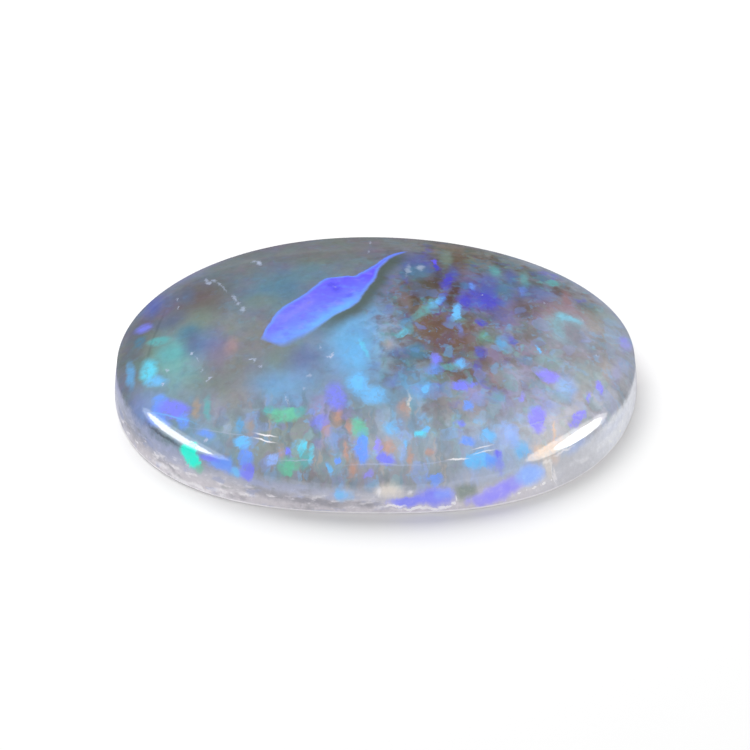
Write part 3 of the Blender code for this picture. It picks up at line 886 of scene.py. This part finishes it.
def fill_curve(mapping, points):
    """Draws the node's curve smoothly through these points."""
    curve = mapping.curves[0]
    curve.points[0].location, curve.points[1].location = points[0], points[-1]
    for place in points[1:-1]:
        curve.points.new(*place)
    for point in curve.points:
        point.handle_type = "AUTO_CLAMPED"
    mapping.update()


def vector(tree, operation, *terms, output=0):
    """Vector maths on wires or triples; a scaling takes a number last."""
    sockets = {0: terms[0], "Scale": terms[1]} if operation == "SCALE" else dict(enumerate(terms))
    return node(tree, "ShaderNodeVectorMath", {"operation": operation}, sockets, output)


def seen(colour, light=LIGHT_ON_TOP):
    """The paint that looks like this colour in the studio's light."""
    paint = []
    for level in colour:
        level = level / 255
        linear = level / 12.92 if level <= 0.04045 else ((level + 0.055) / 1.055) ** 2.4
        paint.append(min(max((linear - GLARE) / light, DARKEST_PAINT), LIGHTEST_PAINT))
    return (*paint, 1.0)


def blend(tree, share, under, over):
    """The over colour laid on the under colour by a share."""
    return node(tree, "ShaderNodeMix", {"data_type": "RGBA"}, {0: share, 6: under, 7: over}, 2)


def between(tree, value, start, end):
    """A share that grows smoothly from 0 where the value is start to 1 where it is end."""
    sockets = {"Value": value, "From Min": start, "From Max": end}
    settings = {"interpolation_type": "SMOOTHSTEP", "clamp": False}
    return node(tree, "ShaderNodeMapRange", settings, sockets)


def from_to(share, least, most):
    """The share stretched, so that it runs from the least to the most."""
    stretched = share * (most - least)
    return stretched + least if least else stretched


def patch_group():
    """One oval patch of colour with a soft rim, laid on what is under it."""
    group = bpy.data.node_groups.new("opal_patch", "ShaderNodeTree")
    for name, kind in PATCH_SOCKETS:
        group.interface.new_socket(name, in_out="INPUT", socket_type="NodeSocket" + kind)
    group.interface.new_socket("Result", in_out="OUTPUT", socket_type="NodeSocketColor")
    entry = node(group, "NodeGroupInput").outputs(len(PATCH_SOCKETS))
    under, place, reach, centre, rim, strength, wear, colour = entry
    local = vector(group, "MULTIPLY_ADD", place, reach, centre)
    distance = vector(group, "LENGTH", local, output=1)
    share = between(group, distance, 1 + rim, 1 - rim) * strength * wear
    result = blend(group, share, under, colour)
    node(group, "NodeGroupOutput", None, {"Result": result}, None)
    return group


def turned(tree, place, turn):
    """The place measured along axes that are turned by this angle."""
    cos, sin = math.cos(math.radians(turn)), math.sin(math.radians(turn))
    along = vector(tree, "DOT_PRODUCT", place, (cos, sin, 0.0), output=1)
    side = vector(tree, "DOT_PRODUCT", place, (-sin, cos, 0.0), output=1)
    return node(tree, "ShaderNodeCombineXYZ", None, {0: along, 1: side})


def region(tree, place, x, y, long, wide, soft):
    """Share of one oval region: 1 inside, 0 outside, with a soft rim."""
    along = vector(tree, "DOT_PRODUCT", place, (1 / long, 0.0, 0.0), output=1) - x / long
    side = vector(tree, "DOT_PRODUCT", place, (0.0, 1 / wide, 0.0), output=1) - y / wide
    distance = along.maths("SQRT", along * along + side * side)
    return between(tree, distance, 1 + soft, 1 - soft)


def spots(tree, under, place, rows, light=LIGHT_ON_TOP, wear=1.0):
    """Lays coloured spots one over another on the under colour, thinner where they are worn."""
    patch = bpy.data.node_groups.get("opal_patch") or patch_group()
    turns = sorted({TURN_STEP * round(row[5] / TURN_STEP) for row in rows})
    places = {turn: turned(tree, place, turn) if turn else place for turn in turns}
    for colour, x, y, long, wide, turn, soft, strength in rows:
        turn = TURN_STEP * round(turn / TURN_STEP)
        cos, sin = math.cos(math.radians(turn)), math.sin(math.radians(turn))
        sockets = {
            "Under": under,
            "Place": places[turn],
            "Reach": (1 / long, 1 / wide, 0.0),
            "Centre": (-(x * cos + y * sin) / long, (x * sin - y * cos) / wide, 0.0),
            "Rim": min(WIDEST_RIM, RIM_SHARE * soft + NARROWEST_RIM),
            "Strength": strength,
            "Wear": wear,
            "Colour": seen(colour, light),
        }
        under = node(tree, "ShaderNodeGroup", {"node_tree": patch}, sockets)
    return under


def noise(tree, place, scale, detail, roughness, output=0):
    """Cloudy noise, as one value or, with output 1, three values as the channels of a colour."""
    sockets = {"Vector": place, "Scale": scale, "Detail": detail, "Roughness": roughness}
    return node(tree, "ShaderNodeTexNoise", None, sockets, output)


def ragged(tree, place, source, scale, amount, detail):
    """The place pushed about by noise, so that what is drawn on it gets uneven edges."""
    push = noise(tree, source, scale, detail, PUSH_ROUGHNESS, 1)
    centred = vector(tree, "SUBTRACT", push, (0.5, 0.5, 0.5))
    return vector(tree, "MULTIPLY_ADD", centred, amount, place)


def faceted(tree, place, source, scale, share):
    """The place drawn towards the middle of the grain it lies in, so that edges become broken."""
    settings = {"voronoi_dimensions": "2D"}
    middle = node(tree, "ShaderNodeTexVoronoi", settings, {"Vector": source, "Scale": scale}, 2)
    pull = vector(tree, "SUBTRACT", middle, source)
    return vector(tree, "MULTIPLY_ADD", pull, (share, share, 0.0), place)


def clouds(tree, place, scale, detail):
    """Three cloudy noises, as the channels of one colour."""
    return noise(tree, place, scale, detail, CLOUD_ROUGHNESS, 1)


def grains(tree, place, scale, smoothness):
    """Small cells with soft borders and three chance values each, as channels of one colour."""
    settings = {"voronoi_dimensions": "2D", "feature": "SMOOTH_F1"}
    sockets = {"Vector": place, "Scale": scale, "Smoothness": smoothness}
    return node(tree, "ShaderNodeTexVoronoi", settings, sockets, 1)


def scattered(tree, under, texture, share, rows, light=LIGHT_ON_TOP):
    """Lays three colours on the under colour, each where its channel of the texture is high."""
    channels = node(tree, "ShaderNodeSeparateColor", None, {0: texture}).outputs(3)
    for channel, (colour, start, soft, strength) in zip(channels, rows):
        shown = between(tree, channel, start, start + soft)
        under = blend(tree, shown * share * strength, under, seen(colour, light))
    return under


def edge_line(tree, along, points):
    """Distance to the side of one edge of the tongue, for a distance along it."""
    shares = [(max(0.0, x / TONGUE_LENGTH), 0.5 + y / TONGUE_SPAN) for x, y in points]
    level = node(tree, "ShaderNodeFloatCurve", {"points": shares}, {1: along / TONGUE_LENGTH})
    return level * TONGUE_SPAN - TONGUE_SPAN / 2


def tongue(tree, under, place):
    """The long violet flash, with its blue edges and the dark olive band below it."""
    cos, sin = math.cos(math.radians(TONGUE_TURN)), math.sin(math.radians(TONGUE_TURN))
    x, y = TONGUE_START
    along = vector(tree, "DOT_PRODUCT", place, (cos, sin, 0.0), output=1) - (x * cos + y * sin)
    side = vector(tree, "DOT_PRODUCT", place, (-sin, cos, 0.0), output=1) - (y * cos - x * sin)
    upper = edge_line(tree, along, TONGUE_UPPER)
    lower = edge_line(tree, along, TONGUE_LOWER)
    from_upper = upper - side
    from_lower = side - lower

    # Inside the edges, the lower one soft near the blunt end
    ends = between(tree, along, *BLUNT_END) * between(tree, along, *TIP)
    softness = from_to(between(tree, along, *SOFT_ALONG), *LOWER_SOFT)
    inside = between(tree, from_upper, *UPPER_EDGE)
    inside = inside * between(tree, from_lower / softness, *LOWER_EDGE) * ends

    # The dark band that follows the lower edge
    band = between(tree, from_lower, *BAND_NEAR) * between(tree, from_lower, *BAND_FAR)
    band = band * between(tree, along, *BAND_START) * between(tree, along, *BAND_END)
    under = blend(tree, band * BAND_STRENGTH, under, seen(OLIVE))

    # Violet towards the tip, bluer towards the blunt end and the lower edge
    bluer = between(tree, along, *BLUER_ALONG) * BLUER_STRENGTH
    flash = blend(tree, bluer, seen(VIOLET), seen(BLUE_VIOLET))
    low_rim = between(tree, from_lower, *LOW_RIM) * between(tree, along, *LOW_RIM_ALONG)
    flash = blend(tree, low_rim * LOW_RIM_STRENGTH, flash, seen(AZURE))
    mottle = clouds(tree, vector(tree, "MULTIPLY", place, TONGUE_DRAW), *TONGUE_NOISE)
    flash = scattered(tree, flash, mottle, MOTTLE_STRENGTH, TONGUE_SMUDGES)
    sky_rim = between(tree, from_lower, *SKY_RIM) * between(tree, along, *SKY_RIM_START)
    sky_rim = sky_rim * between(tree, along, *SKY_RIM_END)
    flash = blend(tree, sky_rim * RIM_STRENGTH, flash, seen(SKY))
    rims = between(tree, from_upper, *NARROW_RIM)
    rims = rims.maths("MAXIMUM", rims, between(tree, from_lower, *NARROW_RIM))
    flash = blend(tree, rims * RIM_STRENGTH, flash, seen(AZURE))
    return blend(tree, inside, under, flash)


def dome_look(tree, flat, shaken, across, deep):
    """Body colour, play of colour, scars, painted glow and painted reflections of the dome, from
    the widest to the finest.
    """
    tint = noise(tree, shaken, *TINT_NOISE, 1)
    cloudy = ragged(tree, flat, shaken, *CLOUDY)
    right = region(tree, cloudy, *MOTTLED_PART)
    front = between(tree, deep + across * FRONT_SLANT, *FRONT_START)
    front = front * from_to(between(tree, across, *CALM_CORNER), *CALM_SHARE)
    dome = spots(tree, seen(GREY), cloudy, BODY_ZONES)
    dome = blend(tree, TINT_SHARE, dome, tint)

    # Smudges, most of them in the mottled part
    dark = clouds(tree, shaken, *DARK_NOISE)
    dome = scattered(tree, dome, dark, from_to(right, *DARK_SHARE), DARK_SMUDGES)
    fine = clouds(tree, shaken, *FINE_NOISE)
    smudged = from_to(right, *FINE_SHARE) * between(tree, deep, *QUIET_BACK)
    dome = scattered(tree, dome, fine, smudged, FINE_SMUDGES)
    drifting = ragged(tree, flat, shaken, *DRIFTING)
    torn = faceted(tree, drifting, shaken, *TORN)
    dome = spots(tree, dome, drifting, CLOUDS)
    speckled = right.maths("MAXIMUM", from_to(right, *SPECKLED_SHARE), front)
    speckled = speckled * between(tree, deep, *SPECKLED_FRONT)
    dome = scattered(tree, dome, grains(tree, shaken, *GRAIN_CELLS), speckled, GRAINS)
    pale = clouds(tree, shaken, *PALE_NOISE)
    dome = scattered(tree, dome, pale, from_to(speckled, *PALE_SHARE), PALE_SMUDGES)
    drawn = vector(tree, "MULTIPLY", shaken, STREAK_DRAW)
    streaks = clouds(tree, drawn, *STREAK_NOISE)
    dome = scattered(tree, dome, streaks, from_to(front, *STREAK_SHARE), FRONT_STREAKS)
    # Milky veils, partly a painted glow of light through the front and the right end
    dome = spots(tree, dome, cloudy, VEILS_AND_GLOW)

    # The flashes, partly worn, and the fine scars over them
    smooth = ragged(tree, flat, shaken, *SMOOTH)
    dome = tongue(tree, dome, smooth)
    combed = ragged(tree, flat, vector(tree, "MULTIPLY", shaken, COMB_DRAW), *COMBED)
    wear = from_to(between(tree, noise(tree, shaken, *WEAR_NOISE), *WORN), *WORN_SHARE)
    dome = spots(tree, dome, combed, LEFT_FLASHES, wear=wear)
    dome = spots(tree, dome, torn, FLASHES, wear=wear)
    nicked = ragged(tree, flat, shaken, *NICKED)
    dome = spots(tree, dome, nicked, SCARS)
    # Painted reflections of thin lights along the shoulder, with a few faint dark lines
    return spots(tree, dome, smooth, GLINT_AND_DARK_LINES)


def unrolled_wall(tree, shaken, across, deep, height):
    """Place on the wall: degrees around the stone and height, pushed about by noise."""
    circular = deep * (CREASE_LENGTH / CREASE_WIDTH)
    degrees = circular.maths("ARCTAN2", circular, across) * (180 / math.pi)
    degrees = degrees.maths("WRAP", degrees, 360.0, 0.0)
    unrolled = node(tree, "ShaderNodeCombineXYZ", None, {0: degrees, 1: height})
    return ragged(tree, unrolled, shaken, *ROLLED)


def wall_look(tree, solid, rolled, across, height):
    """Milky wall with its wide zones, among them a painted glow at its right end, smudges and the
    pale crust near the foot.
    """
    upper, lower = seen(WALL_TOP, LIGHT_ON_WALL), seen(MILK, LIGHT_ON_WALL)
    wall = blend(tree, between(tree, height, *MILK_RISE), upper, lower)
    wall = spots(tree, wall, rolled, WALL_ZONES, LIGHT_ON_WALL)
    layered = vector(tree, "MULTIPLY", solid, WALL_LAYERS)
    older = from_to(between(tree, across, *OLDER_LEFT), *OLDER_SHARE)
    smudges = clouds(tree, layered, *WALL_NOISE)
    wall = scattered(tree, wall, smudges, older, WALL_SMUDGES, LIGHT_ON_WALL)
    crusted = between(tree, height, *CRUST_RISE) * older
    crust = clouds(tree, layered, *CRUST_NOISE)
    return scattered(tree, wall, crust, crusted, WALL_CRUST, LIGHT_ON_WALL)


def opal_material():
    """Polished opal: the dome with its play of colour above the milky wall."""
    material = bpy.data.materials.new("opal")
    material.use_nodes = True
    tree = material.node_tree
    shader = tree.nodes["Principled BSDF"]
    solid = vector(tree, "SCALE", node(tree, "ShaderNodeTexCoord", output=3), 1 / MM)
    flat = vector(tree, "MULTIPLY", solid, (1.0, 1.0, 0.0))
    across, deep, height = node(tree, "ShaderNodeSeparateXYZ", None, {0: solid}).outputs(3)
    shaken = ragged(tree, flat, solid, *SHAKEN)
    dome = dome_look(tree, flat, shaken, across, deep)
    rolled = unrolled_wall(tree, shaken, across, deep, height)
    wall = wall_look(tree, solid, rolled, across, height)

    # The play of colour reaches down into the wall by an uneven border
    potch = noise(tree, solid, *POTCH_NOISE)
    reached = between(tree, height + potch * POTCH_REACH, *POTCH_BORDER)
    colour = blend(tree, reached, wall, dome)
    # Wall markings, among them painted reflections under the right highlight and a painted shade
    # line at the crease
    colour = spots(tree, colour, rolled, WALL_FLASHES, LIGHT_ON_WALL)
    # Painted light: a white rim along the foot, on the bevel that faces down into shade
    colour = blend(tree, between(tree, height, *BRIGHT_FOOT_RIM), colour, seen(WHITE, LIGHT_ON_WALL))
    grain = noise(tree, solid, *GRAIN_NOISE)
    # Painted light: lighter towards the front and the right, darker towards the back
    relight = PAINT_LIGHT - deep * PAINT_DARKER_BACK + across * PAINT_LIGHTER_RIGHT
    colour = vector(tree, "SCALE", colour, (grain * GRAIN_SHARE + 1 - GRAIN_SHARE / 2) * relight)
    tree.links.new(colour.socket, shader.inputs["Base Color"])
    satin = (1 - reached) * WALL_SATIN + grain * GRAIN_SATIN + ROUGHNESS
    tree.links.new(satin.socket, shader.inputs["Roughness"])
    shader.inputs["Specular IOR Level"].default_value = 0.0
    polish = node(tree, "ShaderNodeBsdfPrincipled", None, {
        "Base Color": PURE_WHITE, "Metallic": 1.0, "Roughness": satin,
    })
    both = {0: POLISH, 1: Wire(tree, shader.outputs[0]), 2: polish}
    surface = node(tree, "ShaderNodeMixShader", None, both)
    tree.links.new(surface.socket, tree.nodes["Material Output"].inputs["Surface"])
    return material


def floor_material():
    """Matt white board."""
    material = bpy.data.materials.new("floor")
    material.use_nodes = True
    shader = material.node_tree.nodes["Principled BSDF"]
    shader.inputs["Base Color"].default_value = (FLOOR_WHITE, FLOOR_WHITE, FLOOR_WHITE, 1.0)
    shader.inputs["Roughness"].default_value = 1.0
    shader.inputs["Specular IOR Level"].default_value = 0.0
    return material


def white_floor():
    """The square board that the stone lies on."""
    half = FLOOR_HALF * MM
    corners = [(-half, -half, 0), (half, -half, 0), (half, half, 0), (-half, half, 0)]
    mesh = bpy.data.meshes.new("floor")
    mesh.from_pydata(corners, [], [(0, 1, 2, 3)])
    mesh.materials.append(floor_material())
    floor = bpy.data.objects.new("floor", mesh)
    bpy.context.scene.collection.objects.link(floor)


def soft_box(name, azimuth, elevation, distance, wide, high, radiance, colour):
    """An oval studio light that faces the stone; azimuth runs from behind to the right."""
    lamp = bpy.data.lights.new(name, "AREA")
    lamp.shape = "ELLIPSE"
    lamp.size = wide * MM
    lamp.size_y = high * MM
    lamp.energy = radiance * math.pi * lamp.size * lamp.size_y
    lamp.color = colour
    holder = bpy.data.objects.new(name, lamp)
    turn, lift = math.radians(azimuth), math.radians(elevation)
    level = math.cos(lift)
    away = Vector((math.sin(turn) * level, math.cos(turn) * level, math.sin(lift)))
    holder.location = away * distance * MM
    holder.rotation_mode = "QUATERNION"
    holder.rotation_quaternion = away.to_track_quat("Z", "Y")
    bpy.context.scene.collection.objects.link(holder)
    return holder


def studio():
    """Even white surroundings, and the lights: strips for the shoulder, one lamp behind."""
    world = bpy.data.worlds.new("studio")
    bpy.context.scene.world = world
    world.use_nodes = True
    sky = world.node_tree.nodes["Background"]
    sky.inputs["Color"].default_value = PURE_WHITE
    sky.inputs["Strength"].default_value = SURROUNDINGS
    for strip in STRIPS:
        soft_box(*strip).visible_diffuse = False
    soft_box(*BACK_LIGHT).visible_glossy = False


def camera():
    """The camera at the photo's viewing angle."""
    lens = bpy.data.cameras.new("camera")
    lens.sensor_width = SENSOR
    lens.lens = SENSOR * VIEW_DISTANCE / PICTURE_WIDTH
    lens.clip_start = NEAREST * MM
    lens.clip_end = FARTHEST * MM
    holder = bpy.data.objects.new("camera", lens)
    tilt = math.radians(VIEW_ELEVATION)
    back = Vector((0.0, -math.cos(tilt), math.sin(tilt)))
    up = Vector((0.0, math.sin(tilt), math.cos(tilt)))
    aim = Vector((AIM_RIGHT, 0.0, 0.0)) + up * AIM_UP
    holder.location = (aim + back * VIEW_DISTANCE) * MM
    holder.rotation_mode = "QUATERNION"
    holder.rotation_quaternion = (-back).to_track_quat("-Z", "Y")
    bpy.context.scene.collection.objects.link(holder)
    bpy.context.scene.camera = holder


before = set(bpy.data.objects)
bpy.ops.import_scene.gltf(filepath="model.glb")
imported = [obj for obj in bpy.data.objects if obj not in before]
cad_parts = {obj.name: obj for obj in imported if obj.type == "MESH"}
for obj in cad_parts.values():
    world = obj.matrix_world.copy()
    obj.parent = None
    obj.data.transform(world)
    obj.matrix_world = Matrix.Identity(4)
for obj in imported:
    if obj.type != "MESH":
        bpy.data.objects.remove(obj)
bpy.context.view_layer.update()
low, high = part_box("cabochon")
length, width = (high.x - low.x) / MM, (high.y - low.y) / MM
height = high.z / MM

stone = bpy.data.objects.new("opal_stone", stone_mesh(stone_rings(length, width, height), height))
bpy.context.scene.collection.objects.link(stone)
stone.data.materials.append(opal_material())
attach(stone, "root")
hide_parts("cabochon")

white_floor()
studio()
camera()
bpy.context.scene.view_settings.view_transform = "Standard"
bpy.context.scene.view_settings.look = "None"
